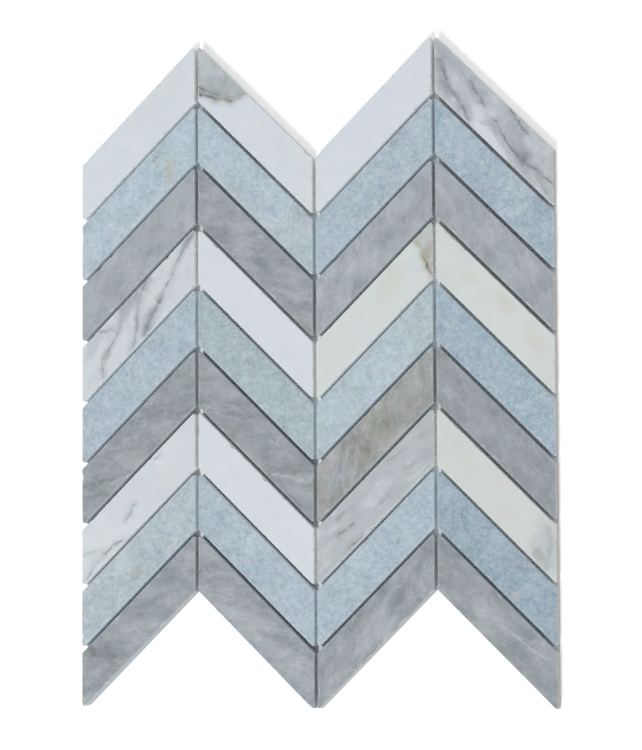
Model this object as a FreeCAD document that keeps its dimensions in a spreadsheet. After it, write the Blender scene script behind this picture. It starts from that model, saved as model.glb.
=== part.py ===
import FreeCAD, Part
import math
import os
import Sketcher

# A chevron mosaic sheet of marble, lying face up. Columns of mitred marble strips lean to the
# right and to the left in turn, so that each row runs across the sheet as a zigzag. A net under
# the strips holds them a joint apart. +Y points along the columns, up the chevrons' peaks.
# The origin is at the middle of the net's underside. Millimetres and degrees.

# Driving sizes
STRIP_LENGTH = 100.0
STRIP_WIDTH = 24.05
STRIP_THICKNESS = 10.0
MITRE_ANGLE = 45.0
TIP_FLAT = 1.2
ARRIS = 0.4
JOINT_WIDTH = 2.0
NET_THICKNESS = 0.5
NET_MARGIN = 1.7

# The marble of each row, from the top row down
ROW_MARBLES = ("white", "blue", "grey") * 3
ROW_COUNT = len(ROW_MARBLES)
COLUMN_COUNT = 4

SIZES = (
    ("strip_length", STRIP_LENGTH, "long edge of a strip, from corner to corner"),
    ("strip_width", STRIP_WIDTH, "across a strip, square to its long edges"),
    ("strip_thickness", STRIP_THICKNESS, "sawn thickness of the marble"),
    ("mitre_angle", MITRE_ANGLE, "between a strip's long edge and its mitred end"),
    ("tip_flat", TIP_FLAT, "width of the worn flat on each sharp corner"),
    ("arris", ARRIS, "width of the eased edge round the honed face"),
    ("joint_width", JOINT_WIDTH, "gap left between neighbouring strips"),
    ("net_thickness", NET_THICKNESS, "net and the glue that fills it"),
    ("net_margin", NET_MARGIN, "how far the net stays inside the sheet's outline"),
)

doc = FreeCAD.newDocument("chevron_mosaic_sheet")
sizes = doc.addObject("Spreadsheet::Sheet", "sizes")
for line, (alias, value, meaning) in enumerate(SIZES, start=1):
    sizes.set(f"A{line}", alias)
    sizes.set(f"B{line}", str(value))
    sizes.set(f"C{line}", meaning)
    sizes.setAlias(f"B{line}", alias)
doc.recompute()

# Shapes that follow from the sizes, as expressions
COLUMN_PITCH = "(sizes.strip_length * sin(sizes.mitre_angle * 1 deg) + sizes.joint_width)"
ROW_PITCH = "((sizes.strip_width + sizes.joint_width) / sin(sizes.mitre_angle * 1 deg))"
CHEVRON_RISE = f"({COLUMN_PITCH} / tan(sizes.mitre_angle * 1 deg))"
HALF_HEIGHT = f"({ROW_COUNT} / 2 * {ROW_PITCH})"
NET_INSET = "(sizes.joint_width / 2 + sizes.net_margin)"
NET_REACH = f"({NET_INSET} / sin(sizes.mitre_angle * 1 deg))"

# How a sketch numbers a line's two ends, its own origin and its upright axis
START_INDEX = 1
END_INDEX = 2
ORIGIN = (-1, START_INDEX)
AXIS_INDEX = -2


def start_sketch(body, name):
    sketch = body.newObject("Sketcher::SketchObject", name)
    ground = next(plane for plane in body.Origin.OriginFeatures if plane.Role == "XY_Plane")
    sketch.AttachmentSupport = [(ground, "")]
    sketch.MapMode = "FlatFace"
    return sketch


def constrain(sketch, kind, *arguments):
    return sketch.addConstraint(Sketcher.Constraint(kind, *arguments))


def add_closed_outline(sketch, corners):
    points = [FreeCAD.Vector(x, y, 0) for x, y in corners]
    for start, end in zip(points, points[1:] + points[:1]):
        sketch.addGeometry(Part.LineSegment(start, end))
    for line in range(len(points)):
        constrain(sketch, "Coincident", line, END_INDEX, (line + 1) % len(points), START_INDEX)


def bind(sketch, expression, kind, *arguments):
    index = constrain(sketch, kind, *arguments)
    sketch.setExpression(f"Constraints[{index}]", expression)


def draw_strip_outline(body, lean):
    """A parallelogram about the origin with upright ends and its two sharp corners worn flat.

    lean is 1 where the strip climbs to the right and -1 where it climbs to the left.
    """
    angle = math.radians(sizes.mitre_angle)
    half_run = sizes.strip_length * math.sin(angle) / 2
    half_rise = sizes.strip_length * math.cos(angle) / 2
    half_end = sizes.strip_width / math.sin(angle) / 2
    worn = sizes.tip_flat / (2 * math.sin(angle / 2))
    corners = [
        (-half_run, -half_rise - half_end + worn),
        (-half_run, -half_rise + half_end),
        (half_run - worn * math.sin(angle), half_rise + half_end - worn * math.cos(angle)),
        (half_run, half_rise + half_end - worn),
        (half_run, half_rise - half_end),
        (-half_run + worn * math.sin(angle), -half_rise - half_end + worn * math.cos(angle)),
    ]
    low_end, top_edge, high_tip, high_end, bottom_edge, low_tip = range(len(corners))
    sketch = start_sketch(body, body.Name + "_outline")
    add_closed_outline(sketch, [(lean * x, y) for x, y in corners])
    constrain(sketch, "Vertical", low_end)
    constrain(sketch, "Vertical", high_end)
    constrain(sketch, "Parallel", top_edge, bottom_edge)
    constrain(sketch, "Parallel", high_tip, low_tip)
    constrain(sketch, "Equal", high_tip, low_tip)
    constrain(sketch, "Symmetric", low_end, END_INDEX, high_end, END_INDEX, *ORIGIN)
    across = "sizes.strip_length * sin(sizes.mitre_angle * 1 deg)"
    left_end, right_end = (low_end, high_end) if lean > 0 else (high_end, low_end)
    bind(sketch, across, "DistanceX", left_end, END_INDEX, right_end, END_INDEX, 2 * half_run)
    bind(sketch, "sizes.strip_width", "Distance", bottom_edge, START_INDEX, top_edge, sizes.strip_width)
    bind(sketch, "sizes.tip_flat", "Distance", high_tip, sizes.tip_flat)
    slope = math.pi / 2 - lean * angle
    bind(sketch, f"90 - {lean} * sizes.mitre_angle", "Angle", top_edge, slope)
    flat = -angle / 2 if lean > 0 else math.pi + angle / 2
    turn = "-sizes.mitre_angle / 2" if lean > 0 else "180 + sizes.mitre_angle / 2"
    bind(sketch, turn, "Angle", high_tip, flat)
    return sketch


def make_strip(row, column):
    """One marble strip, its saw-cut sides square to the face and the face's edges eased."""
    label = f"{ROW_MARBLES[row]}_marble_row{row + 1}_col{column + 1}"
    body = doc.addObject("PartDesign::Body", label)
    body.Label = label
    lean = 1 if column % 2 == 0 else -1
    block = body.newObject("PartDesign::Pad", label + "_block")
    block.Profile = draw_strip_outline(body, lean)
    block.setExpression("Length", "sizes.strip_thickness")
    steps_right = column - (COLUMN_COUNT - 1) / 2
    steps_up = (ROW_COUNT - 1) / 2 - row
    body.setExpression("Placement.Base.x", f"{steps_right} * {COLUMN_PITCH}")
    body.setExpression("Placement.Base.y", f"{steps_up} * {ROW_PITCH}")
    body.setExpression("Placement.Base.z", "sizes.net_thickness")
    doc.recompute()
    faces = block.Shape.Faces
    top = max(range(len(faces)), key=lambda index: faces[index].CenterOfMass.z)
    eased = body.newObject("PartDesign::Chamfer", label + "_eased_face")
    eased.Base = (block, [f"Face{top + 1}"])
    eased.setExpression("Size", "sizes.arris")
    return body


def draw_net_outline(body):
    """The sheet's zigzag outline, drawn in by the margin all round."""
    angle = math.radians(sizes.mitre_angle)
    column_pitch = sizes.strip_length * math.sin(angle) + sizes.joint_width
    row_pitch = (sizes.strip_width + sizes.joint_width) / math.sin(angle)
    inset = sizes.joint_width / 2 + sizes.net_margin
    half_rise = column_pitch / math.tan(angle) / 2
    half_height = ROW_COUNT * row_pitch / 2
    reach = inset / math.sin(angle)
    side = 2 * column_pitch - inset
    side_lift = inset / math.tan(angle)
    corners = [
        (-side, -half_height - half_rise + side_lift + reach),
        (-side, half_height - half_rise + side_lift - reach),
        (-column_pitch, half_height + half_rise - reach),
        (0, half_height - half_rise - reach),
        (column_pitch, half_height + half_rise - reach),
        (side, half_height - half_rise + side_lift - reach),
        (side, -half_height - half_rise + side_lift + reach),
        (column_pitch, -half_height + half_rise + reach),
        (0, -half_height - half_rise + reach),
        (-column_pitch, -half_height + half_rise + reach),
    ]
    left, climb, fall, inner_climb, inner_fall, right, right_foot, inner_foot, foot, left_foot = range(10)
    sketch = start_sketch(body, body.Name + "_outline")
    add_closed_outline(sketch, corners)
    constrain(sketch, "Vertical", left)
    for one, other in ((climb, right), (fall, inner_fall), (left, right_foot), (left_foot, inner_foot)):
        constrain(sketch, "Symmetric", one, START_INDEX, other, START_INDEX, AXIS_INDEX)
    constrain(sketch, "PointOnObject", inner_climb, START_INDEX, AXIS_INDEX)
    constrain(sketch, "PointOnObject", foot, START_INDEX, AXIS_INDEX)
    constrain(sketch, "Vertical", fall, START_INDEX, left_foot, START_INDEX)
    constrain(sketch, "Parallel", climb, left_foot)
    constrain(sketch, "Parallel", fall, foot)
    bind(sketch, f"2 * {COLUMN_PITCH} - {NET_INSET}", "DistanceX", left, START_INDEX, *ORIGIN, side)
    bind(sketch, COLUMN_PITCH, "DistanceX", fall, START_INDEX, *ORIGIN, column_pitch)
    peak = f"{HALF_HEIGHT} + {CHEVRON_RISE} / 2 - {NET_REACH}"
    bind(sketch, peak, "DistanceY", *ORIGIN, fall, START_INDEX, half_height + half_rise - reach)
    notch = f"{HALF_HEIGHT} - {CHEVRON_RISE} / 2 - {NET_REACH}"
    bind(sketch, notch, "DistanceY", left_foot, START_INDEX, *ORIGIN, half_height - half_rise - reach)
    bind(sketch, "90 - sizes.mitre_angle", "Angle", climb, math.pi / 2 - angle)
    bind(sketch, "sizes.mitre_angle - 90", "Angle", fall, angle - math.pi / 2)
    return sketch


def make_net():
    """The glued net, as one thin sheet with the outline that it is cut to."""
    body = doc.addObject("PartDesign::Body", "fibreglass_net")
    body.Label = "fibreglass_net"
    sheet = body.newObject("PartDesign::Pad", "fibreglass_net_sheet")
    sheet.Profile = draw_net_outline(body)
    sheet.setExpression("Length", "sizes.net_thickness")
    return body


pieces = [make_net()]
for row in range(ROW_COUNT):
    for column in range(COLUMN_COUNT):
        pieces.append(make_strip(row, column))
doc.recompute()

for item in doc.Objects:
    if "Invalid" in item.State or "Error" in item.State:
        raise RuntimeError(f"{item.Label} did not recompute")
for piece in pieces:
    if piece.Shape.isNull() or not piece.Shape.isValid() or len(piece.Shape.Solids) != 1:
        raise RuntimeError(f"{piece.Label} is not one valid solid")

os.makedirs("parts", exist_ok=True)
for piece in pieces:
    piece.Shape.exportStep(f"parts/{piece.Label}.step")
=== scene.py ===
import math
from collections import namedtuple

import bmesh
import bpy
import numpy as np
from mathutils import Matrix, Vector


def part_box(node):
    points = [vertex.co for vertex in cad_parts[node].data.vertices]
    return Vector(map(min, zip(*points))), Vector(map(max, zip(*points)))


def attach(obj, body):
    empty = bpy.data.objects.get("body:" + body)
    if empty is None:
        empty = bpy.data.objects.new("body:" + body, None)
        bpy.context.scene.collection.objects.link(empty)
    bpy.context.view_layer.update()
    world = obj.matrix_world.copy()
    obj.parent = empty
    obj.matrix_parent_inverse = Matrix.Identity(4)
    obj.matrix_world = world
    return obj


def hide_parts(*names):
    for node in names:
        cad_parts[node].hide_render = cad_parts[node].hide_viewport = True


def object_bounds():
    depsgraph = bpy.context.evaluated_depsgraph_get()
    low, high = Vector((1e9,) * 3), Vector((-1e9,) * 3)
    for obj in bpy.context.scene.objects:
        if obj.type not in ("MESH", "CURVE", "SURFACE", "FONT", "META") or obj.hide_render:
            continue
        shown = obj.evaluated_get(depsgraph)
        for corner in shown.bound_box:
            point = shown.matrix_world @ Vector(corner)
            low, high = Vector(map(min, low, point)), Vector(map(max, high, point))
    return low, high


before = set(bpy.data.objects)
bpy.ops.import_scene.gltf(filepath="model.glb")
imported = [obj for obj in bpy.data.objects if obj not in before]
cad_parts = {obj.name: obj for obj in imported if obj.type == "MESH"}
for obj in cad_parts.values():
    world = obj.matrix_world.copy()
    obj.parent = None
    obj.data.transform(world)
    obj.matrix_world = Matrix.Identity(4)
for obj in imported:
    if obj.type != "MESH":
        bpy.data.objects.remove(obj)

# The looks of a chevron mosaic sheet: honed marble strips with saw-cut sides and knocked edges,
# glued to a woven net, lying face up on a pale floor. Metres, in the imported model's frame.
# Looks that are drawn on a strip's face are in millimetres: u runs along the strip to the right
# and v runs across it, both from the strip's middle.
cad_low, cad_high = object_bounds()

MM = 0.001
HAIR = 0.01 * MM
ROW_MARBLES = ("white", "blue", "grey") * 3
COLUMN_COUNT = 4
NET_NODE = "fibreglass_net"


def paint(red, green, blue):
    """A colour as it looks on a screen, from 0 to 255, turned into linear light."""
    def linear(level):
        share = level / 255
        if share <= 0.04045:
            return share / 12.92
        return ((share + 0.055) / 1.055) ** 2.4
    return linear(red), linear(green), linear(blue), 1.0


# White marbles, their veins and their stains
COOL_WHITE = paint(213, 219, 226)
MILK_WHITE = paint(211, 218, 222)
WARM_WHITE = paint(209, 215, 215)
PEARL = paint(205, 211, 216)
IVORY = paint(206, 211, 210)
CREAM = paint(206, 208, 202)
SAND = paint(186, 191, 187)
CLOUDY_WHITE = paint(184, 190, 194)
DULL_WHITE = paint(179, 185, 189)
SMOKE = paint(160, 166, 171)
ASH = paint(120, 125, 132)
MOSS = paint(168, 177, 180)
SAGE = paint(170, 176, 173)
UMBER = paint(92, 88, 88)
HONEY = paint(152, 140, 112)
KHAKI = paint(136, 134, 116)

# Blue marbles
PALE_BLUE = paint(178, 194, 205)
MIST_BLUE = paint(176, 190, 196)
SKY_BLUE = paint(171, 186, 197)
SEA_BLUE = paint(166, 182, 187)
STEEL_BLUE = paint(158, 177, 190)
DEEP_BLUE = paint(151, 169, 182)
CHALK_BLUE = paint(206, 217, 223)
TAN = paint(160, 160, 150)

# Grey marbles
SILVER = paint(162, 169, 176)
PEWTER = paint(152, 159, 165)
IRON = paint(146, 153, 158)
OLIVE = paint(154, 157, 156)
TAUPE = paint(147, 149, 143)
LEAD = paint(124, 130, 135)
FROST = paint(186, 192, 197)

# Cut and broken stone, glass thread and floor
# The sawn sides' tones are partly the paler tone of cut stone and partly painted light: a painted glow of
# light that comes through the marble into the joints.
WHITE_SAWN_AND_PAINTED_GLOW = paint(249, 252, 251)
BLUE_SAWN_AND_PAINTED_GLOW = paint(218, 232, 240)
GREY_SAWN_AND_PAINTED_GLOW = paint(188, 196, 200)
# The mitred ends' tones are painted light: a paler painted glow still, for light through the marble in
# the upright joints.
WHITE_MITRE_PAINTED_GLOW = paint(252, 254, 253)
BLUE_MITRE_PAINTED_GLOW = paint(232, 242, 248)
GREY_MITRE_PAINTED_GLOW = paint(205, 210, 212)
TRIMMED = paint(197, 194, 186)
FRESH_BREAK = paint(222, 224, 226)
GLASS_THREAD = paint(248, 250, 251)
GLUE = paint(246, 248, 249)
FLOOR_WHITE = paint(240, 240, 240)
FLOOR_SHADE = paint(236, 236, 236)

# A vein follows points on the face, in a haze of its own tone. A stain is an oval patch about a
# middle, turned by some degrees. A bed fills all that lies to the left of its edge. Streaks are
# clouds that run at an angle in degrees, with a strength.
Vein = namedtuple("Vein", "points width tone strength haze", defaults=(0.3,))
Stain = namedtuple("Stain", "middle reach turn tone strength")
Bed = namedtuple("Bed", "edge tone strength")
Streaks = namedtuple("Streaks", "turn strength")
Look = namedtuple("Look", "tone drift veins stains beds streaks", defaults=((), (), (), None))

WHITE_LOOKS = {
    (1, 1): Look(COOL_WHITE, MILK_WHITE),
    (1, 2): Look(COOL_WHITE, MILK_WHITE, veins=[
        Vein([(-45, -5.7), (-40, -4.1), (-35.3, -1.7), (-30.7, -0.7)], 1.0, UMBER, 0.8),
        Vein([(-39.2, -8.2), (-35.8, -5.1), (-31.5, -3.6)], 1.4, UMBER, 0.95),
        Vein([(-31.5, -3.6), (-27.2, -1), (-23.8, 2)], 1.5, KHAKI, 0.95, 0.5),
        Vein([(-23.8, 2), (-21.3, 6.3), (-19.2, 12)], 1.2, KHAKI, 0.6, 0.4),
        Vein([(-39, 5.6), (-33, 7)], 0.6, ASH, 0.4),
    ], stains=[
        Stain((-52, 8), (13, 6), 0, PEARL, 0.45),
        Stain((-34, 0), (10, 3), 30, SMOKE, 0.4),
    ], beds=[Bed([(-46, -9), (-39, -8.2), (-31.5, -4.2), (-25, 0.8), (-19, 12)], MOSS, 0.95)]),
    (1, 3): Look(COOL_WHITE, COOL_WHITE),
    (1, 4): Look(CLOUDY_WHITE, CLOUDY_WHITE, veins=[
        Vein([(-54, 7.7), (-40, 7), (-25.5, 6.9)], 1.2, SMOKE, 0.7, 0.6),
        Vein([(-25.5, 7.2), (-18, 4.6), (-10, 2.4)], 1.3, ASH, 1.0, 0.5),
        Vein([(-49.5, 3.7), (-38, -1.4), (-31.5, -4.8), (-23, -6.5), (-10, -10.4)], 1.4, ASH, 0.85, 0.6),
        Vein([(-40, -3), (-34, -5.5), (-31, -8.5)], 0.8, ASH, 0.5),
        Vein([(-1, 11.6), (9.5, 9.4), (21.5, 7.2)], 1.2, ASH, 0.9, 0.5),
        Vein([(1, 0.3), (13, -3.1), (29, -5.6), (38.6, -4), (54, -3.1), (61, -4)], 1.1, ASH, 0.85, 0.5),
        Vein([(38.6, -4), (46, -7), (54, -9.9)], 0.8, ASH, 0.5, 0.5),
        Vein([(29.5, -2), (31.5, -6.2)], 2.0, ASH, 0.95, 0.6),
    ], stains=[
        Stain((-46, 8), (14, 5), -10, SMOKE, 0.4),
        Stain((-38, -3), (12, 4), -35, SMOKE, 0.5),
        Stain((18, 1), (17, 5), -25, SMOKE, 0.7),
        Stain((5, -9.5), (20, 3.5), -5, COOL_WHITE, 0.85),
        Stain((-9, -3), (7, 6), -30, COOL_WHITE, 0.7),
        Stain((48, 5), (12, 5), -20, SAGE, 0.4),
    ], streaks=Streaks(-17, 0.7)),
    (4, 1): Look(PEARL, PEARL, veins=[
        Vein([(-42, -10.5), (-35.8, -3.6), (-27.3, -1), (-18.7, 2.4), (-12.7, 4.9)], 1.0, ASH, 0.65, 0.6),
        Vein([(-8.4, 5.8), (-5, 9.2), (6, 10), (20, 11.8)], 2.4, SMOKE, 0.85, 0.8),
        Vein([(-16, -11.3), (-7.6, -5.3), (-0.7, -0.2), (7.8, 6.3), (19.8, 11.4)], 1.3, ASH, 0.5, 0.8),
        Vein([(-6, -11.3), (2.7, -6.2), (14.6, -3.6)], 1.7, ASH, 0.75, 0.7),
        Vein([(14.6, -3.6), (29.2, 1.9), (38.6, 5.8), (47, 8.4), (60.8, 10.9)], 0.9, ASH, 0.75, 0.5),
        Vein([(-23.8, 10), (-17.8, 7.5)], 1.8, ASH, 0.5, 0.6),
    ], stains=[
        Stain((-33, 8), (12, 4), 20, SMOKE, 0.3),
        Stain((-32, -3), (6, 3), 30, SMOKE, 0.5),
        Stain((3, 9), (13, 3.5), 20, SMOKE, 0.6),
        Stain((2, -7.5), (9, 3.5), 30, SMOKE, 0.6),
        Stain((52, 9.5), (9, 3), 15, SMOKE, 0.5),
    ], streaks=Streaks(28, 0.3)),
    (4, 2): Look(COOL_WHITE, COOL_WHITE),
    (4, 3): Look(WARM_WHITE, WARM_WHITE, veins=[
        Vein([(45.4, 11), (44.5, 6.3), (42, 0.3)], 1.6, HONEY, 0.45, 0.5),
        Vein([(42.6, 1.5), (41.5, -2.5), (40.6, -4.8), (39.4, -10.8)], 1.5, HONEY, 0.85, 0.6),
        Vein([(42.4, 0.8), (41.6, -1.6)], 0.9, UMBER, 0.6),
        Vein([(40.8, -4.2), (40.2, -6.5)], 0.9, UMBER, 0.55),
    ], stains=[
        Stain((18, 4), (17, 7), 15, CREAM, 0.75),
        Stain((47, 1), (7, 5), 30, HONEY, 0.35),
    ], beds=[Bed([(46, 12), (40, -12)], SAND, 0.95)]),
    (4, 4): Look(WARM_WHITE, IVORY, stains=[
        Stain((-24, 2), (8, 5), 10, CREAM, 0.7),
        Stain((3, 5), (10, 6), -20, CREAM, 1.0),
        Stain((30, 3), (12, 6), -10, CREAM, 0.9),
    ]),
    (7, 1): Look(MILK_WHITE, PEARL, veins=[
        Vein([(-48, 0.2), (-42, -2)], 0.8, ASH, 0.5, 0.4),
        Vein([(-57, -10), (-47, -8.2), (-37, -8.7)], 0.8, ASH, 0.5, 0.4),
        Vein([(-37, -8.7), (-29.6, -9), (-25, -10)], 1.1, ASH, 0.7, 0.5),
        Vein([(-15, -3.1), (-10, -2.3), (-3.5, -0.6)], 1.0, SMOKE, 0.8, 0.6),
        Vein([(25, 11), (29, 10.6)], 1.0, ASH, 0.6),
    ], stains=[
        Stain((-42, -6), (12, 4), 5, SMOKE, 0.2),
    ]),
    (7, 2): Look(COOL_WHITE, MILK_WHITE),
    (7, 3): Look(DULL_WHITE, DULL_WHITE, veins=[
        Vein([(-32, -0.4), (-26, -1), (-20.5, -0.8)], 1.1, ASH, 0.75, 0.5),
        Vein([(-25, 6.8), (-14, 5.5)], 1.2, ASH, 0.45, 0.6),
        Vein([(-33, -10.6), (-23, -10.8)], 1.2, UMBER, 0.45, 0.5),
        Vein([(21, 9.6), (32, 8)], 1.1, ASH, 0.45, 0.6),
        Vein([(45, 5), (61, 2.6)], 1.1, ASH, 0.4, 0.6),
        Vein([(-7, -5), (6, -5.6)], 0.9, ASH, 0.4, 0.5),
        Vein([(24, -2), (31, -3)], 0.9, ASH, 0.4, 0.5),
    ], stains=[
        Stain((-44, 9), (9, 4), 0, PEARL, 0.5),
        Stain((2, 1), (15, 4), -5, PEARL, 0.35),
        Stain((45, -6), (14, 5), -15, SMOKE, 0.4),
    ], streaks=Streaks(-3, 0.5)),
    (7, 4): Look(IVORY, IVORY, veins=[
        Vein([(36, 8), (43, 1), (51, -9)], 2.2, SAGE, 0.8, 0.5),
    ], stains=[
        Stain((-35, 3), (20, 7), 0, CREAM, 0.5),
        Stain((-5, 6), (6, 3.5), 0, CREAM, 0.7),
        Stain((12, -4), (10, 5), 0, CREAM, 0.5),
        Stain((47, -1), (20, 14), -30, CLOUDY_WHITE, 0.8),
        Stain((42, -7), (6, 4), -15, SAGE, 1.0),
    ]),
}

BLUE_LOOKS = {
    (2, 1): Look(PALE_BLUE, PALE_BLUE, veins=[Vein([(22, 7.6), (24.5, 7.2)], 1.8, LEAD, 0.4)], stains=[
        Stain((24, 0), (9, 11), 0, MIST_BLUE, 0.7),
        Stain((22.5, -5), (10, 3.5), 38, TAN, 0.35),
    ]),
    (2, 2): Look(PALE_BLUE, MIST_BLUE),
    (2, 3): Look(SKY_BLUE, SKY_BLUE),
    (2, 4): Look(SKY_BLUE, STEEL_BLUE),
    (5, 1): Look(SKY_BLUE, SKY_BLUE),
    (5, 2): Look(SEA_BLUE, SEA_BLUE, stains=[Stain((-7, 2.6), (4.5, 3), 0, LEAD, 0.4)]),
    (5, 3): Look(PALE_BLUE, MIST_BLUE),
    (5, 4): Look(STEEL_BLUE, STEEL_BLUE),
    (8, 1): Look(MIST_BLUE, MIST_BLUE, stains=[Stain((-6, -4), (6, 4), 0, TAN, 0.35)]),
    (8, 2): Look(SKY_BLUE, SKY_BLUE),
    (8, 3): Look(SKY_BLUE, SKY_BLUE),
    (8, 4): Look(DEEP_BLUE, DEEP_BLUE, veins=[Vein([(14, 11), (21, 10.8)], 1.2, TAN, 0.6)], stains=[
        Stain((-52, 4), (10, 6), 0, SKY_BLUE, 0.7),
        Stain((22, -7), (5, 4), 20, TAN, 0.35),
    ]),
}

GREY_LOOKS = {
    (3, 1): Look(SILVER, SILVER, streaks=Streaks(20, 0.7)),
    (3, 2): Look(PEWTER, IRON, veins=[
        Vein([(29, -6), (37, -2), (45, 3)], 1.8, FROST, 0.5),
        Vein([(28, -3), (35, 1)], 1.0, LEAD, 0.5),
    ], streaks=Streaks(35, 1.0)),
    (3, 3): Look(SILVER, SILVER, veins=[
        Vein([(24.5, -0.6), (26, -1)], 1.4, LEAD, 0.8),
    ], streaks=Streaks(42, 1.0)),
    (3, 4): Look(SILVER, PEWTER, streaks=Streaks(-25, 0.8)),
    (6, 1): Look(IRON, IRON, veins=[
        Vein([(-44, 3.4), (-37, 0), (-25.4, -6.7), (-19.5, -11)], 1.6, LEAD, 0.8, 0.4),
        Vein([(-34.6, 10), (-23.7, 3.4)], 1.5, LEAD, 0.7, 0.4),
    ], streaks=Streaks(-34, 1.0)),
    (6, 2): Look(IRON, IRON, veins=[
        Vein([(20, -7.3), (30, 1), (40, 9.5)], 1.6, LEAD, 0.6, 0.4),
        Vein([(25, -8), (34, -2), (43, 4.4)], 1.4, FROST, 0.6),
    ], stains=[
        Stain((32, 4), (12, 5), 38, LEAD, 0.5),
        Stain((44, -5), (10, 4), 20, SILVER, 0.6),
    ], streaks=Streaks(38, 1.0)),
    (6, 3): Look(OLIVE, OLIVE, veins=[
        Vein([(26, 11), (15, 3), (6, -6)], 1.4, HONEY, 0.5, 0.4),
        Vein([(-16, 8), (-20, -4)], 1.2, HONEY, 0.35),
    ], stains=[
        Stain((0, 2), (22, 10), 20, TAUPE, 0.9),
        Stain((-34, -2), (12, 6), 20, PEWTER, 0.7),
    ], streaks=Streaks(38, 1.1)),
    (6, 4): Look(IRON, IRON, streaks=Streaks(-20, 0.8)),
    (9, 1): Look(PEWTER, IRON, veins=[
        Vein([(-37, 7.5), (-28, 1), (-23.7, -4), (-19.5, -10)], 1.8, LEAD, 0.8, 0.5),
    ], stains=[
        Stain((-30, 1), (13, 8), -50, LEAD, 0.7),
    ], streaks=Streaks(-40, 1.0)),
    (9, 2): Look(PEWTER, PEWTER, stains=[
        Stain((26, -3), (22, 8), 10, FROST, 0.3),
    ], streaks=Streaks(35, 1.0)),
    (9, 3): Look(PEWTER, IRON, stains=[
        Stain((-16, -2), (12, 6), 15, IRON, 0.6),
    ], streaks=Streaks(25, 1.1)),
    (9, 4): Look(IRON, IRON, veins=[
        Vein([(-9, -3.1), (3, 0.2), (11.6, 1.9), (30, 3.6), (42, 5.3), (54, 8)], 0.8, FROST, 0.65),
    ], stains=[
        Stain((-44, 3), (12, 8), 0, LEAD, 0.5),
    ], streaks=Streaks(12, 0.9)),
}


class Signal:
    """A value, colour or vector in one material, so that its maths reads as arithmetic."""

    def __init__(self, tree, socket=None):
        self.tree = tree
        self.socket = socket

    def node(self, kind, settings=None, inputs=None, output=0):
        """Adds a node: its settings first, then a value or a link for each of its sockets."""
        made = self.tree.nodes.new(kind)
        for name, value in (settings or {}).items():
            setattr(made, name, value)
        for name, value in (inputs or {}).items():
            if isinstance(value, Signal):
                self.tree.links.new(value.socket, made.inputs[name])
            else:
                made.inputs[name].default_value = value
        return Signal(self.tree, made.outputs[output] if made.outputs else None)

    def math(self, operation, *values):
        return self.node("ShaderNodeMath", {"operation": operation}, dict(enumerate(values)))

    def vector(self, operation, *values, output=0):
        inputs = dict(enumerate(values))
        return self.node("ShaderNodeVectorMath", {"operation": operation}, inputs, output)

    def scaled(self, amount):
        """This vector or colour, times an amount."""
        return self.node("ShaderNodeVectorMath", {"operation": "SCALE"}, {0: self, "Scale": amount})

    def share_of(self, vector):
        """A fixed vector, times this value."""
        return self.node("ShaderNodeVectorMath", {"operation": "SCALE"}, {0: vector, "Scale": self})

    def __add__(self, other):
        return self.math("ADD", self, other)

    __radd__ = __add__

    def __sub__(self, other):
        return self.math("SUBTRACT", self, other)

    def __rsub__(self, other):
        return self.math("SUBTRACT", other, self)

    def __mul__(self, other):
        return self.math("MULTIPLY", self, other)

    __rmul__ = __mul__

    def __truediv__(self, other):
        return self.math("DIVIDE", self, other)

    def __abs__(self):
        return self.math("ABSOLUTE", self)


# Sockets of a colour mix, the middle of noise, and what leaves out a vector's height
MIX_SHARE, MIX_FIRST, MIX_SECOND, MIX_COLOUR = 0, 6, 7, 2
NOISE_MIDDLE = 0.5
FLAT = (1, 1, 0)


def blend(first, second, share):
    """One colour laid over another, as far as the share goes."""
    inputs = {MIX_SHARE: share, MIX_FIRST: first, MIX_SECOND: second}
    return share.node("ShaderNodeMix", {"data_type": "RGBA"}, inputs, MIX_COLOUR)


def ease(value, start, end):
    """0 before the start, 1 past the end, and a soft slope between them."""
    inputs = {"Value": value, "From Min": start, "From Max": end}
    return value.node("ShaderNodeMapRange", {"interpolation_type": "SMOOTHSTEP"}, inputs)


def mottle(place, size, seed, detail=2.0, roughness=0.5, output=0):
    """Cloudy noise with lumps of a size in millimetres, from 0 to 1 about its middle."""
    inputs = {"Vector": place, "W": seed, "Scale": 1 / size, "Detail": detail, "Roughness": roughness}
    return place.node("ShaderNodeTexNoise", {"noise_dimensions": "4D"}, inputs, output)


def swing(noise, amount):
    """Noise made to swing about zero, by so much in all."""
    return (noise - NOISE_MIDDLE) * amount


def sway(noise, amount):
    """Noise in three directions, made to swing about zero in each of them."""
    return noise.vector("SUBTRACT", noise, (NOISE_MIDDLE,) * 3).scaled(amount)


def mapped(place, middle, turn, scale):
    """The place from a middle, along a turned direction, in units of a scale."""
    inputs = {"Vector": place, "Location": (*middle, 0), "Rotation": (0, 0, turn), "Scale": scale}
    return place.node("ShaderNodeMapping", {"vector_type": "TEXTURE"}, inputs)


def combed(place, turn, stretch):
    """The place with its patterns drawn out along one direction of the face."""
    return mapped(place, (0, 0), math.radians(turn), (stretch, 1, 1))


def start_material(name, middle=(0, 0), turn=0.0):
    """A new empty material, and the place in millimetres from a middle, along a turned direction."""
    material = bpy.data.materials.new(name)
    material.use_nodes = True
    material.node_tree.nodes.clear()
    place = Signal(material.node_tree).node("ShaderNodeTexCoord", output="Object")
    return material, mapped(place, middle, turn, (MM, MM, MM))


def bumped(height, strength, depth):
    """The normals of small relief, as deep as a height of 1 stands for."""
    return height.node("ShaderNodeBump", {}, {"Strength": strength, "Distance": depth, "Height": height})


def close_material(material, place, sockets):
    """The material's shader, with a value or a link for each of its sockets, and its output."""
    shader = place.node("ShaderNodeBsdfPrincipled", {}, sockets)
    place.node("ShaderNodeOutputMaterial", {}, {"Surface": shader})
    return material


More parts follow.
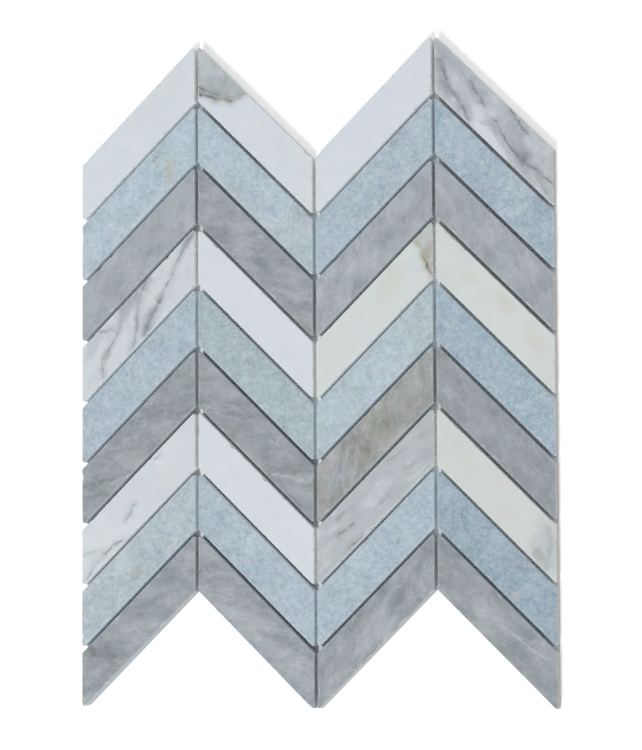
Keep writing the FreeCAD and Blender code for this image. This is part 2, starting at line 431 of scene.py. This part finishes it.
# How looks are drawn on a face. Sizes, pushes and reaches are in millimetres.
WIDE_BEND = 16
WIDE_PUSH = 6.0
NEAR_BEND = 2.8
NEAR_PUSH = 3.0
VEIN_EDGE = (1.0, 0.15)
VEIN_BREAKS = (0.38, 0.6)
VEIN_KEPT = 0.3
HAZE_REACH = 2.0
HAZE_SPREAD = 2.5
HAZE_PATCHES = (0.3, 0.65)
BED_EDGE = (-0.5, 1.3)
BED_LEAST = 0.2
BED_CLOUDS = 1.6
STAIN_EDGE = (1.15, 0.45)
STAIN_RAGGED = 1.6
TINT_SIZE = 7
DRIFT_EDGE = (0.36, 0.62)
STREAK_STRETCH = 3.0
PATCH_STRETCH = 1.6
WISP_HALF_WIDTH = 0.04
WISP_PATCHES = (0.42, 0.62)
FLECK_EDGE = (0.64, 0.74)
CRYSTAL_SIZE = 1.5

# How cut and broken stone looks, and the relief of stone and net
SIDE_SLOPE = (0.7, 0.3)
SAW_COMB = (0.06, 0.06, 2.5)
SAW_RELIEF = 0.9
CRUMB_SIZE = 0.5
CRUMB_RELIEF = 1.6
CUT_ROUGHER = 0.3
STONE_BUMP = 0.6
STONE_RELIEF = 0.08 * MM
STONE_IOR = 1.49
WARP_COMB = (6, 0.3, 3)
WEFT_COMB = (0.3, 6, 3)
NET_BUMP = 0.5
NET_RELIEF = 0.05 * MM
NET_IOR = 1.5


def wandering(place, seed):
    """The place on the face pushed about, so that what is drawn on it wavers as veins do."""
    flat = place.vector("MULTIPLY", place, FLAT)
    wide = mottle(flat, WIDE_BEND, seed, output="Color")
    near = mottle(flat, NEAR_BEND, seed, detail=4.0, roughness=0.65, output="Color")
    pushed = place.vector("ADD", flat, sway(wide, WIDE_PUSH))
    pushed = place.vector("ADD", pushed, sway(near, NEAR_PUSH))
    return place.vector("MULTIPLY", pushed, FLAT)


def far_from(place, points):
    """How far the place is from a line through the points, in millimetres."""
    nearest = None
    for start, end in zip(points, points[1:]):
        run = (end[0] - start[0], end[1] - start[1], 0)
        offset = place.vector("SUBTRACT", place, (*start, 0))
        dot = place.vector("DOT_PRODUCT", offset, run, output="Value")
        settings = {"operation": "DIVIDE", "use_clamp": True}
        along = place.node("ShaderNodeMath", settings, {0: dot, 1: run[0] ** 2 + run[1] ** 2})
        gap = place.vector("DISTANCE", offset, along.share_of(run), output="Value")
        nearest = gap if nearest is None else place.math("MINIMUM", nearest, gap)
    return nearest


def draw_veins(colour, place, veins, seed):
    """Veins that swell, thin out and break, each in a patchy haze."""
    swell = mottle(place, 4, seed + 0.3, detail=3.0)
    broken = ease(mottle(place, 6, seed + 0.6, detail=3.0), *VEIN_BREAKS)
    patchy = ease(mottle(place, 7, seed + 0.9, detail=4.0, roughness=0.6), *HAZE_PATCHES)
    for vein in veins:
        gap = far_from(place, vein.points)
        core = ease(gap / (swell * (2 * vein.width)), *VEIN_EDGE)
        haze = ease(gap, HAZE_REACH + HAZE_SPREAD * vein.width, 0.0) * patchy
        kept = VEIN_KEPT + (1 - VEIN_KEPT) * broken
        colour = blend(colour, vein.tone, haze * (vein.haze * vein.strength))
        colour = blend(colour, vein.tone, core * kept * vein.strength)
    return colour


def fill_beds(colour, place, beds, seed):
    """Cloudy beds of another tone, each of them cut off along its edge."""
    clouds = mottle(place, 6, seed + 0.7, detail=4.0, roughness=0.6)
    for bed in beds:
        depth = None
        for start, end in zip(bed.edge, bed.edge[1:]):
            run = Vector(end) - Vector(start)
            inward = Vector((-run.y, run.x, 0)).normalized()
            offset = place.vector("SUBTRACT", place, (*start, 0))
            inside = place.vector("DOT_PRODUCT", offset, inward, output="Value")
            depth = inside if depth is None else place.math("MINIMUM", depth, inside)
        share = ease(depth, *BED_EDGE) * (BED_LEAST + BED_CLOUDS * clouds) * bed.strength
        colour = blend(colour, bed.tone, share)
    return colour


def lay_stains(colour, place, stains, seed):
    """Oval patches of another tone with ragged, cloudy edges."""
    ragged = mottle(place, 8, seed + 0.8, detail=4.0, roughness=0.6)
    for stain in stains:
        inside = mapped(place, stain.middle, math.radians(stain.turn), (*stain.reach, 1))
        reach = place.vector("LENGTH", inside, output="Value")
        share = ease(reach + swing(ragged, STAIN_RAGGED), *STAIN_EDGE) * stain.strength
        colour = blend(colour, stain.tone, share)
    return colour


def tinted(colour, place, seed, amount):
    """Slow patches that lean to warm or cool and to rose or green."""
    tint = sway(mottle(place, TINT_SIZE, seed, detail=3.0, output="Color"), amount)
    return place.vector("MULTIPLY", colour, place.vector("ADD", tint, (1, 1, 1)))


def clouded(colour, grain, grey):
    """The colour made paler and darker as the grain's clarity changes, by so much of a grey."""
    return colour.vector("ADD", colour, grain.share_of((grey, grey, grey)))


def wisps(place, turn, size, seed):
    """Thin wavering threads that run along one direction of the face and fade in and out."""
    threads = mottle(combed(place, turn, STREAK_STRETCH), size, seed, detail=3.0, roughness=0.55)
    shown = ease(mottle(place, 2.5 * size, seed + 0.5), *WISP_PATCHES)
    return ease(abs(threads - NOISE_MIDDLE), WISP_HALF_WIDTH, 0.0) * shown


# Each marble: the size of its slow drift of tone in millimetres, how far it leans to other hues, and the
# tones of its sawn sides and of its mitred ends. The sides' tone is partly the cut stone's own and partly
# painted light, and the ends' tone is painted light: a painted glow of light through the marble into the
# joints.
Marble = namedtuple("Marble", "drift_size tint sawn mitre")
WHITE_MARBLE = Marble(34, 0.11, WHITE_SAWN_AND_PAINTED_GLOW, WHITE_MITRE_PAINTED_GLOW)
BLUE_MARBLE = Marble(30, 0.17, BLUE_SAWN_AND_PAINTED_GLOW, BLUE_MITRE_PAINTED_GLOW)
GREY_MARBLE = Marble(34, 0.17, GREY_SAWN_AND_PAINTED_GLOW, GREY_MITRE_PAINTED_GLOW)


def start_stone(name, middle, turn, look, marble, seed):
    """A stone's material, the place on its face, plain and wavering, and its slow drift of tone."""
    material, place = start_material(name, middle, turn)
    drift = ease(mottle(place, marble.drift_size, seed), *DRIFT_EDGE)
    return material, place, wandering(place, seed), blend(look.tone, look.drift, drift)


def mark_stone(colour, place, wavy, look, marble, seed):
    """A stone's beds, stains and veins, with a slow tint over them."""
    if look.beds:
        colour = fill_beds(colour, wavy, look.beds, seed)
    if look.stains:
        colour = lay_stains(colour, wavy, look.stains, seed)
    if look.veins:
        colour = draw_veins(colour, wavy, look.veins, seed)
    return tinted(colour, place, seed + 0.1, marble.tint)


def mesh_value(place, name):
    """A value that the mesh holds at each of its points."""
    return place.node("ShaderNodeAttribute", {"attribute_name": name}, output="Fac")


def finish_stone(material, place, colour, marble, roughness, height, seed):
    """Saw-cut sides and knocked edges, paler and rougher than the face, and the stone's shader; the sides
    and mitred ends are paler partly by painted light, a painted glow of light through the marble.
    """
    normal = place.node("ShaderNodeNewGeometry", output="Normal")
    upright = place.node("ShaderNodeSeparateXYZ", {}, {0: normal}, "Z")
    side = ease(abs(upright), *SIDE_SLOPE)
    worn = mesh_value(place, "knocked")
    saw_lines = mottle(place.vector("MULTIPLY", place, SAW_COMB), 1.0, seed, detail=3.0, roughness=0.6)
    crumbs = mottle(place, CRUMB_SIZE, seed, detail=3.0, roughness=0.7)
    lined = 0.8 + 0.2 * saw_lines
    # Painted light, in part: the sides take a paler tone, partly the cut stone's own and partly a painted
    # glow of light through the marble.
    colour = blend(colour, marble.sawn, side * lined)
    # Painted light: the mitred ends take a paler painted glow still.
    colour = blend(colour, marble.mitre, side * mesh_value(place, "mitred") * lined)
    colour = blend(colour, TRIMMED, side * mesh_value(place, "trimmed") * (0.7 + 0.3 * saw_lines))
    colour = blend(colour, FRESH_BREAK, worn * (0.2 + 0.7 * crumbs))
    height = height + side * saw_lines * SAW_RELIEF + worn * crumbs * CRUMB_RELIEF
    return close_material(material, place, {
        "Base Color": colour,
        "Roughness": roughness + side * CUT_ROUGHER + worn * CUT_ROUGHER,
        "IOR": STONE_IOR,
        "Normal": bumped(height, STONE_BUMP, STONE_RELIEF),
    })


def white_marble(name, middle, turn, look, seed):
    """Sugary white marble with a slow drift of tone, and on some strips clouds and veins."""
    material, place, wavy, colour = start_stone(name, middle, turn, look, WHITE_MARBLE, seed)
    if look.streaks:
        slant, strength = look.streaks
        clouds = mottle(combed(wavy, slant, STREAK_STRETCH), 4.5, seed + 0.2, detail=5.0, roughness=0.6)
        colour = blend(colour, SMOKE, ease(clouds, NOISE_MIDDLE, 0.28) * strength)
        colour = blend(colour, COOL_WHITE, ease(clouds, NOISE_MIDDLE, 0.72) * strength)
    colour = mark_stone(colour, place, wavy, look, WHITE_MARBLE, seed)
    haze = mottle(place, 4, seed + 0.5, detail=3.0)
    sugar = mottle(place, 0.8, seed + 0.4, roughness=0.6)
    colour = colour.scaled(1 + swing(haze, 0.1) + swing(sugar, 0.12))
    roughness = 0.36 + 0.16 * mottle(place, 5, seed)
    return finish_stone(material, place, colour, WHITE_MARBLE, roughness, sugar * 0.25, seed)


def blue_marble(name, middle, turn, look, seed):
    """Pale blue marble of packed crystals, some glassy, some chalky."""
    material, place, wavy, colour = start_stone(name, middle, turn, look, BLUE_MARBLE, seed)
    colour = mark_stone(colour, place, wavy, look, BLUE_MARBLE, seed)
    patches = mottle(place, 12, seed + 0.6)
    lumps = mottle(place, 3.2, seed + 0.2, detail=4.0, roughness=0.62)
    packing = {"Vector": place, "W": seed, "Scale": 1 / CRYSTAL_SIZE, "Randomness": 1.0}
    crystals = place.node("ShaderNodeTexVoronoi", {"voronoi_dimensions": "4D"}, packing, "Color")
    facet = place.node("ShaderNodeSeparateColor", {}, {0: crystals})
    sugar = mottle(place, 0.7, seed + 0.4, roughness=0.6)
    grain = swing(patches, 0.4) + swing(lumps, 0.54) + swing(facet, 0.18) + swing(sugar, 0.38)
    colour = clouded(colour, grain, 0.5)
    flecks = ease(mottle(place, 1.5, seed + 0.8), *FLECK_EDGE)
    colour = blend(colour, CHALK_BLUE, flecks * 0.5)
    roughness = 0.32 + 0.14 * facet + 0.1 * lumps
    height = sugar * 0.3 + facet * 0.12
    return finish_stone(material, place, colour, BLUE_MARBLE, roughness, height, seed)


def grey_marble(name, middle, turn, look, seed):
    """Mid grey marble with slanting clouds, pale wisps and dark streaks."""
    material, place, wavy, colour = start_stone(name, middle, turn, look, GREY_MARBLE, seed)
    colour = mark_stone(colour, place, wavy, look, GREY_MARBLE, seed)
    slant, strength = look.streaks
    patches = mottle(combed(wavy, slant, PATCH_STRETCH), 11, seed + 0.7, detail=3.0)
    clouds = mottle(combed(wavy, slant, STREAK_STRETCH), 4.0, seed + 0.2, detail=4.0, roughness=0.6)
    lumps = mottle(place, 2.2, seed + 0.5, detail=4.0, roughness=0.62)
    sugar = mottle(place, 0.7, seed + 0.4, roughness=0.6)
    grain = (swing(patches, 1.0) + swing(clouds, 0.66)) * strength
    grain = grain + swing(lumps, 0.42) + swing(sugar, 0.4)
    colour = clouded(colour, grain, 0.36)
    colour = blend(colour, FROST, wisps(wavy, slant, 5.0, seed + 0.4) * (0.4 * strength))
    colour = blend(colour, LEAD, wisps(wavy, slant, 6.0, seed + 0.6) * (0.35 * strength))
    roughness = 0.34 + 0.16 * lumps
    height = sugar * 0.3 + lumps * 0.15
    return finish_stone(material, place, colour, GREY_MARBLE, roughness, height, seed)


def glass_net():
    """White glass thread in a skin of pale glue, its filaments running both ways."""
    material, place = start_material("glass_net")
    warp = mottle(place.vector("MULTIPLY", place, WARP_COMB), 1.0, seed=1.0)
    weft = mottle(place.vector("MULTIPLY", place, WEFT_COMB), 1.0, seed=2.0)
    filaments = warp + weft - NOISE_MIDDLE
    resin = ease(mottle(place, 6, seed=3.0, detail=3.0), 0.45, 0.65)
    colour = blend(GLASS_THREAD, GLUE, resin * 0.8)
    return close_material(material, place, {
        "Base Color": colour.scaled(0.95 + 0.1 * filaments),
        "Roughness": 0.62 - resin * 0.3,
        "IOR": NET_IOR,
        "Normal": bumped(filaments, NET_BUMP, NET_RELIEF),
    })


MARBLES = {
    "white": (white_marble, WHITE_LOOKS),
    "blue": (blue_marble, BLUE_LOOKS),
    "grey": (grey_marble, GREY_LOOKS),
}

# Sizes of the wear on a strip's edges. The reach and bite of knocks are in millimetres.
Knocks = namedtuple("Knocks", "count reach bite")
SMALL_AND_BIG_KNOCKS = (Knocks(26, (0.6, 1.5), (0.1, 0.35)), Knocks(3, (1.6, 3.4), (0.5, 0.9)))
KNOCK_STEEPNESS = (0.8, 1.4)
DEEP_KNOCK = 0.35 * MM
RIM_STEP = 0.7 * MM
EASED_EDGE = 0.34 * MM
EASE_STEEPNESS = 0.9
EASE_RIPPLE = 0.3
EASE_WAVES = (7, 13, 29, 47)
BACK_EASE = 0.12 * MM
FACE_BAND = 0.3 * MM
FACE_SINK = 0.12 * MM
CUT_SLACK = 0.05 * MM
SAW_WAVER = 0.03 * MM
SAW_WAVES = (1, 2, 3, 5)
SAW_BELLY = 0.4
TIP_WEAR = 0.3 * MM
TIP_REACH = 2.2 * MM
BROKEN_TIPS = {(9, 1): 0.9 * MM}
OUTER_BAND = 0.2 * MM
INSET_PASSES = 6
CREASE_ANGLE = 34


def anticlockwise(points, middle):
    """The points put in their order round a middle."""
    spokes = points - middle
    return points[np.argsort(np.arctan2(spokes[:, 1], spokes[:, 0]))]


def corners_of(node_name):
    """The middle of a node's box and the corners of its back, anticlockwise, as x and y."""
    low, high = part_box(node_name)
    middle = np.array(((low.x + high.x) / 2, (low.y + high.y) / 2))
    back = {
        (round(vertex.co.x, 5), round(vertex.co.y, 5))
        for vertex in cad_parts[node_name].data.vertices
        if vertex.co.z < low.z + HAIR
    }
    return middle, anticlockwise(np.array(sorted(back)), middle)


def sides_of(corners):
    return list(zip(corners, np.roll(corners, -1, axis=0)))


def length_of(side):
    return math.hypot(*(side[1] - side[0]))


def walk_rim(corners):
    """Points round an outline, about a step apart, and how far round it each of them is."""
    runs = []
    for side in sides_of(corners):
        count = max(2, round(length_of(side) / RIM_STEP))
        shares = np.arange(count)[:, None] / count
        runs.append(side[0] + (side[1] - side[0]) * shares)
    points = np.concatenate(runs)
    steps = np.hypot(*(np.roll(points, -1, axis=0) - points).T)
    return points, np.cumsum(steps) - steps


def draw_in(points, depths, corners):
    """The points moved inwards, each one its own depth from every side of the outline."""
    moved = points.copy()
    for _ in range(INSET_PASSES):
        for side in sides_of(corners):
            along = (side[1] - side[0]) / length_of(side)
            inward = np.array((-along[1], along[0]))
            missing = np.maximum(depths - (moved - side[0]) @ inward, 0.0)
            moved += missing[:, None] * inward
    return moved


def dent(places, spot, rim_length, reach, depth):
    """A rounded hollow about a spot on the rim, as its depth at each place."""
    apart = np.abs(places - spot)
    near = np.minimum(apart, rim_length - apart) / reach
    return depth * np.clip(1 - near ** 2, 0, 1)


def ripple(places, rim_length, chance, waves):
    """A smooth closed waver round the rim, from -1 to 1."""
    total = np.zeros_like(places)
    for wave in waves:
        total += np.sin(2 * math.pi * wave * places / rim_length + chance.uniform(0, 2 * math.pi))
    return total / len(waves)


def knock_depths(places, rim_length, chance):
    """How far small breaks bite into the face's edge, at each place round the rim."""
    bites = np.zeros_like(places)
    for knocks in SMALL_AND_BIG_KNOCKS:
        for _ in range(knocks.count):
            spot = chance.uniform(0, rim_length)
            reach = chance.uniform(*knocks.reach) * MM
            bite = chance.uniform(*knocks.bite) * MM
            bites = np.maximum(bites, dent(places, spot, rim_length, reach, bite))
    return bites


def tip_depths(places, corners, rim_length, broken, chance):
    """How far the two sharp corners are worn back, through the whole thickness."""
    sides = sides_of(corners)
    starts = np.cumsum([0.0] + [length_of(side) for side in sides])
    sharp = sorted(range(len(sides)), key=lambda index: length_of(sides[index]))[:2]
    low_tip = min(sharp, key=lambda index: sides[index][0][1])
    wear = np.zeros_like(places)
    for index in sorted(sharp):
        spot = (starts[index] + starts[index + 1]) / 2
        depth = chance.uniform(0, TIP_WEAR)
        if index == low_tip:
            depth = max(depth, broken)
        wear = np.maximum(wear, dent(places, spot, rim_length, TIP_REACH + depth, depth))
    return wear


def edge_rings(places, corners, back, face, broken_tip, chance):
    """Rings from a strip's back to its face: how far in, how high and how knocked at each place."""
    rim_length = sum(length_of(side) for side in sides_of(corners))
    face = face - chance.uniform(0, FACE_SINK)
    cut = chance.uniform(0, CUT_SLACK) + tip_depths(places, corners, rim_length, broken_tip, chance)
    cut = cut + SAW_WAVER * (1 + ripple(places, rim_length, chance, SAW_WAVES))
    knocks = knock_depths(places, rim_length, chance)
    ease_width = EASED_EDGE * (1 + EASE_RIPPLE * ripple(places, rim_length, chance, EASE_WAVES))
    width = ease_width + knocks
    drop = ease_width * EASE_STEEPNESS + knocks * chance.uniform(*KNOCK_STEEPNESS)
    broken = np.clip(knocks / DEEP_KNOCK, 0, 1)
    hollow = 0.3 + 0.3 * broken
    bare = np.zeros_like(places)
    level = np.ones_like(places)
    return [
        (cut + BACK_EASE, back * level, bare),
        (cut, (back + BACK_EASE) * level, bare),
        (cut + SAW_BELLY * SAW_WAVER, (back + face) / 2 * level, bare),
        (cut, face - drop, 0.4 * broken),
        (cut + hollow * width, face - hollow * drop, 0.35 + 0.65 * broken),
        (cut + width, face * level, 0.3 + 0.5 * broken),
        (cut + width + FACE_BAND, face * level, bare),
    ]


def add_skin(vertices, faces, rings, flipped=False):
    """Adds rings of points with a closed skin over them: a floor, walls and a lid."""
    first = len(vertices)
    count = len(rings[0])
    for ring in rings:
        vertices.extend(ring)
    last = first + (len(rings) - 1) * count
    skin = [range(first + count - 1, first - 1, -1), range(last, last + count)]
    for low in range(first, last, count):
        high = low + count
        for index in range(count):
            after = (index + 1) % count
            skin.append((low + index, low + after, high + after, high + index))
    faces.extend(tuple(reversed(face)) if flipped else tuple(face) for face in skin)


def strip_mesh(name, corners, back, face, broken_tip, chance):
    """A strip's stone: a flat honed face, an eased and knocked edge, saw-cut sides and a flat back."""
    points, places = walk_rim(corners)
    rings = []
    knocked = []
    for inset, height, wear in edge_rings(places, corners, back, face, broken_tip, chance):
        rings.append(np.column_stack((draw_in(points, inset, corners), height)).tolist())
        knocked.extend(wear.tolist())
    vertices = []
    faces = []
    add_skin(vertices, faces, rings)
    across = points[:, 0]
    ends = (across < corners[:, 0].min() + OUTER_BAND) | (across > corners[:, 0].max() - OUTER_BAND)
    outer = np.abs(across) > cad_high.x - OUTER_BAND
    values = {
        "knocked": knocked,
        "mitred": np.tile(ends.astype(float), len(rings)),
        "trimmed": np.tile(outer.astype(float), len(rings)),
    }
    mesh = bpy.data.meshes.new(name)
    mesh.from_pydata(vertices, [], faces)
    for value_name, shares in values.items():
        mesh.attributes.new(value_name, "FLOAT", "POINT").data.foreach_set("value", shares)
    join_points(mesh)
    smooth(mesh)
    mesh.set_sharp_from_angle(angle=math.radians(CREASE_ANGLE))
    return mesh


def join_points(mesh):
    """Makes one of points that fell together."""
    shape = bmesh.new()
    shape.from_mesh(mesh)
    bmesh.ops.remove_doubles(shape, verts=shape.verts, dist=HAIR)
    shape.to_mesh(mesh)
    shape.free()


def smooth(mesh):
    mesh.validate()
    mesh.polygons.foreach_set("use_smooth", [True] * len(mesh.polygons))


def add_object(name, data):
    made = bpy.data.objects.new(name, data)
    bpy.context.scene.collection.objects.link(made)
    return made


def place_piece(name, mesh, material, node_name):
    """Puts a piece in the scene in place of its CAD node."""
    mesh.materials.append(material)
    piece = add_object(name, mesh)
    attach(piece, "root")
    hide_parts(node_name)


def make_strip(row, column):
    marble = ROW_MARBLES[row - 1]
    node_name = f"{marble}_marble_row{row}_col{column}"
    name = f"{marble}_strip_row{row}_col{column}"
    low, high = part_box(node_name)
    middle, corners = corners_of(node_name)
    long_side = max(sides_of(corners), key=length_of)
    run = long_side[1] - long_side[0]
    turn = math.atan(run[1] / run[0])
    seed = 10 * row + column
    broken_tip = BROKEN_TIPS.get((row, column), 0.0)
    mesh = strip_mesh(name, corners, low.z, high.z, broken_tip, np.random.default_rng(seed))
    make_marble, looks = MARBLES[marble]
    material_name = f"{marble}_marble_{row}_{column}"
    material = make_marble(material_name, middle, turn, looks[row, column], float(seed))
    place_piece(name, mesh, material, node_name)


# Sizes of the woven net. The glue's skin lies between two shares of the net's height, and at the
# sides it comes close to the strips' ends, but stays clear of the sheet's corners.
THREAD_PITCH = 5.0 * MM
THREAD_WIDTH = 1.1 * MM
THREAD_THICKNESS = 0.22 * MM
THREAD_SECTION = (
    (-THREAD_WIDTH / 2, 0.0),
    (0.0, -THREAD_THICKNESS / 2),
    (THREAD_WIDTH / 2, 0.0),
    (0.0, THREAD_THICKNESS / 2),
)
GLUE_HEIGHTS = (0.35, 0.92)
GLUE_INSET = 0.25 * MM
GLUE_CLEAR = 6.0 * MM


def runs_across(outline, axis, level):
    """The stretches of a straight line that lie inside an outline."""
    other = 1 - axis
    crossings = []
    for start, end in sides_of(outline):
        if (start[other] > level) != (end[other] > level):
            share = (level - start[other]) / (end[other] - start[other])
            crossings.append(start[axis] + share * (end[axis] - start[axis]))
    crossings.sort()
    return list(zip(crossings[::2], crossings[1::2]))


def thread_rings(axis, level, start, end, phase, height):
    """One flat thread that goes over and under the threads that it crosses."""
    half_pitch = THREAD_PITCH / 2
    stops = np.arange(math.ceil(start / half_pitch), math.floor(end / half_pitch) + 1) * half_pitch
    lift = (height - THREAD_THICKNESS) / 2
    rings = []
    for stop in np.unique(np.concatenate(([start], stops, [end]))):
        middle = height / 2 + lift * math.cos(math.pi * stop / THREAD_PITCH + phase)
        ring = []
        for across, up in THREAD_SECTION:
            aside = level + across
            ring.append((stop, aside, middle + up) if axis == 0 else (aside, stop, middle + up))
        rings.append(ring)
    return rings


def glue_outline(outline, middle):
    """The net's outline, let out at both sides, where glue has run into the joints' open ends."""
    side = outline[:, 0].max()
    side_corners = outline[outline[:, 0] > side - HAIR]
    reach = cad_high.x - GLUE_INSET
    levels = (side_corners[:, 1].min() + GLUE_CLEAR, side_corners[:, 1].max() - GLUE_CLEAR)
    let_out = [(way * reach, level) for way in (-1, 1) for level in levels]
    return anticlockwise(np.concatenate((outline, let_out)), middle)


def make_net():
    """A net of flat glass threads, cut to the outline of the CAD net, and the glue's thin skin."""
    low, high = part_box(NET_NODE)
    middle, outline = corners_of(NET_NODE)
    height = high.z - low.z
    vertices = []
    faces = []
    for axis in (0, 1):
        last = math.floor(max(abs(outline[:, 1 - axis])) / THREAD_PITCH)
        for index in range(-last, last + 1):
            level = index * THREAD_PITCH
            phase = math.pi * (index + axis)
            for start, end in runs_across(outline, axis, level):
                rings = thread_rings(axis, level, start, end, phase, height)
                add_skin(vertices, faces, rings, flipped=axis == 0)
    skin = glue_outline(outline, middle)
    add_skin(vertices, faces, [[(x, y, height * share) for x, y in skin] for share in GLUE_HEIGHTS])
    mesh = bpy.data.meshes.new("woven_net")
    mesh.from_pydata(vertices, [], faces)
    smooth(mesh)
    place_piece("woven_net", mesh, glass_net(), NET_NODE)


# The camera that took the photograph, from the middle of the strips' faces
FRAME_HEIGHT_PIXELS = 750
FOCAL_PIXELS = 3159
SENSOR = 36.0
FAR_CLIP = 100.0
CAMERA_OFFSET = Vector((0.43386, -0.12943, 1.82133))
CAMERA_TURN = 13.28
CAMERA_NOD = 3.92
CAMERA_ROLL = -0.26

# Light: an even sky and one long soft lamp, which lies along the upright joints' direction, below
# the photograph's middle and a little to the left, and so shines down into those joints
SKY_LEVEL = 0.47
LAMP_SHARE = 0.5
LAMP_WAY = Vector((-0.08, -0.53, 0.87))
LAMP_DISTANCE = 8.0
LAMP_WIDTH = 1.2
LAMP_LENGTH = 3.2
FLOOR_SIZE = 24.0
FLOOR_GLOW = 0.36
WHITE_LIGHT = (1, 1, 1, 1)


def make_camera():
    data = bpy.data.cameras.new("camera")
    data.sensor_width = SENSOR
    data.lens = FOCAL_PIXELS * SENSOR / FRAME_HEIGHT_PIXELS
    data.clip_end = FAR_CLIP
    camera = add_object("camera", data)
    turn = Matrix.Rotation(math.radians(CAMERA_TURN), 4, "Y")
    nod = Matrix.Rotation(math.radians(CAMERA_NOD), 4, "X")
    roll = Matrix.Rotation(math.radians(CAMERA_ROLL), 4, "Z")
    face_middle = Vector((0, 0, cad_high.z))
    camera.matrix_world = Matrix.Translation(face_middle + CAMERA_OFFSET) @ turn @ nod @ roll
    bpy.context.scene.camera = camera


def seen_directly(start):
    """1 for what the camera sees straight on, in a mirror or through glass, and 0 for lighting."""
    rays = [
        start.node("ShaderNodeLightPath", output=name)
        for name in ("Is Camera Ray", "Is Glossy Ray", "Is Transmission Ray")
    ]
    return start.math("MINIMUM", rays[0] + rays[1] + rays[2], 1.0)


def make_light():
    lamp = bpy.data.lights.new("soft_lamp", "AREA")
    lamp.shape = "ELLIPSE"
    lamp.size = LAMP_WIDTH
    lamp.size_y = LAMP_LENGTH
    way = LAMP_WAY.normalized()
    lamp.energy = LAMP_SHARE * math.pi ** 2 * LAMP_DISTANCE ** 2 / way.z
    holder = add_object("soft_lamp", lamp)
    holder.location = way * LAMP_DISTANCE
    holder.rotation_mode = "QUATERNION"
    holder.rotation_quaternion = (-way).to_track_quat("-Z", "Y")
    world = bpy.data.worlds.new("sky")
    world.use_nodes = True
    world.node_tree.nodes.clear()
    start = Signal(world.node_tree)
    strength = SKY_LEVEL + (1 - SKY_LEVEL) * seen_directly(start)
    sky = start.node("ShaderNodeBackground", {}, {"Color": WHITE_LIGHT, "Strength": strength})
    start.node("ShaderNodeOutputWorld", {}, {"Surface": sky})
    bpy.context.scene.world = world


def make_floor():
    """A wide pale floor, which looks as bright as it is lit, and a glow more."""
    half = FLOOR_SIZE / 2
    level = cad_low.z - HAIR
    corners = [(-half, -half, level), (half, -half, level), (half, half, level), (-half, half, level)]
    mesh = bpy.data.meshes.new("floor")
    mesh.from_pydata(corners, [], [tuple(range(len(corners)))])
    floor = add_object("floor", mesh)
    material, place = start_material("floor")
    mesh.materials.append(close_material(material, place, {
        "Base Color": blend(FLOOR_WHITE, FLOOR_SHADE, mottle(place, 3, seed=0.0, detail=3.0)),
        "Roughness": 0.9,
        "Specular IOR Level": 0.0,
        "Emission Color": WHITE_LIGHT,
        "Emission Strength": seen_directly(place) * FLOOR_GLOW,
    }))


make_camera()
make_light()
make_floor()
make_net()
for strip_row in range(1, len(ROW_MARBLES) + 1):
    for strip_column in range(1, COLUMN_COUNT + 1):
        make_strip(strip_row, strip_column)
bpy.context.scene.view_settings.view_transform = "Standard"
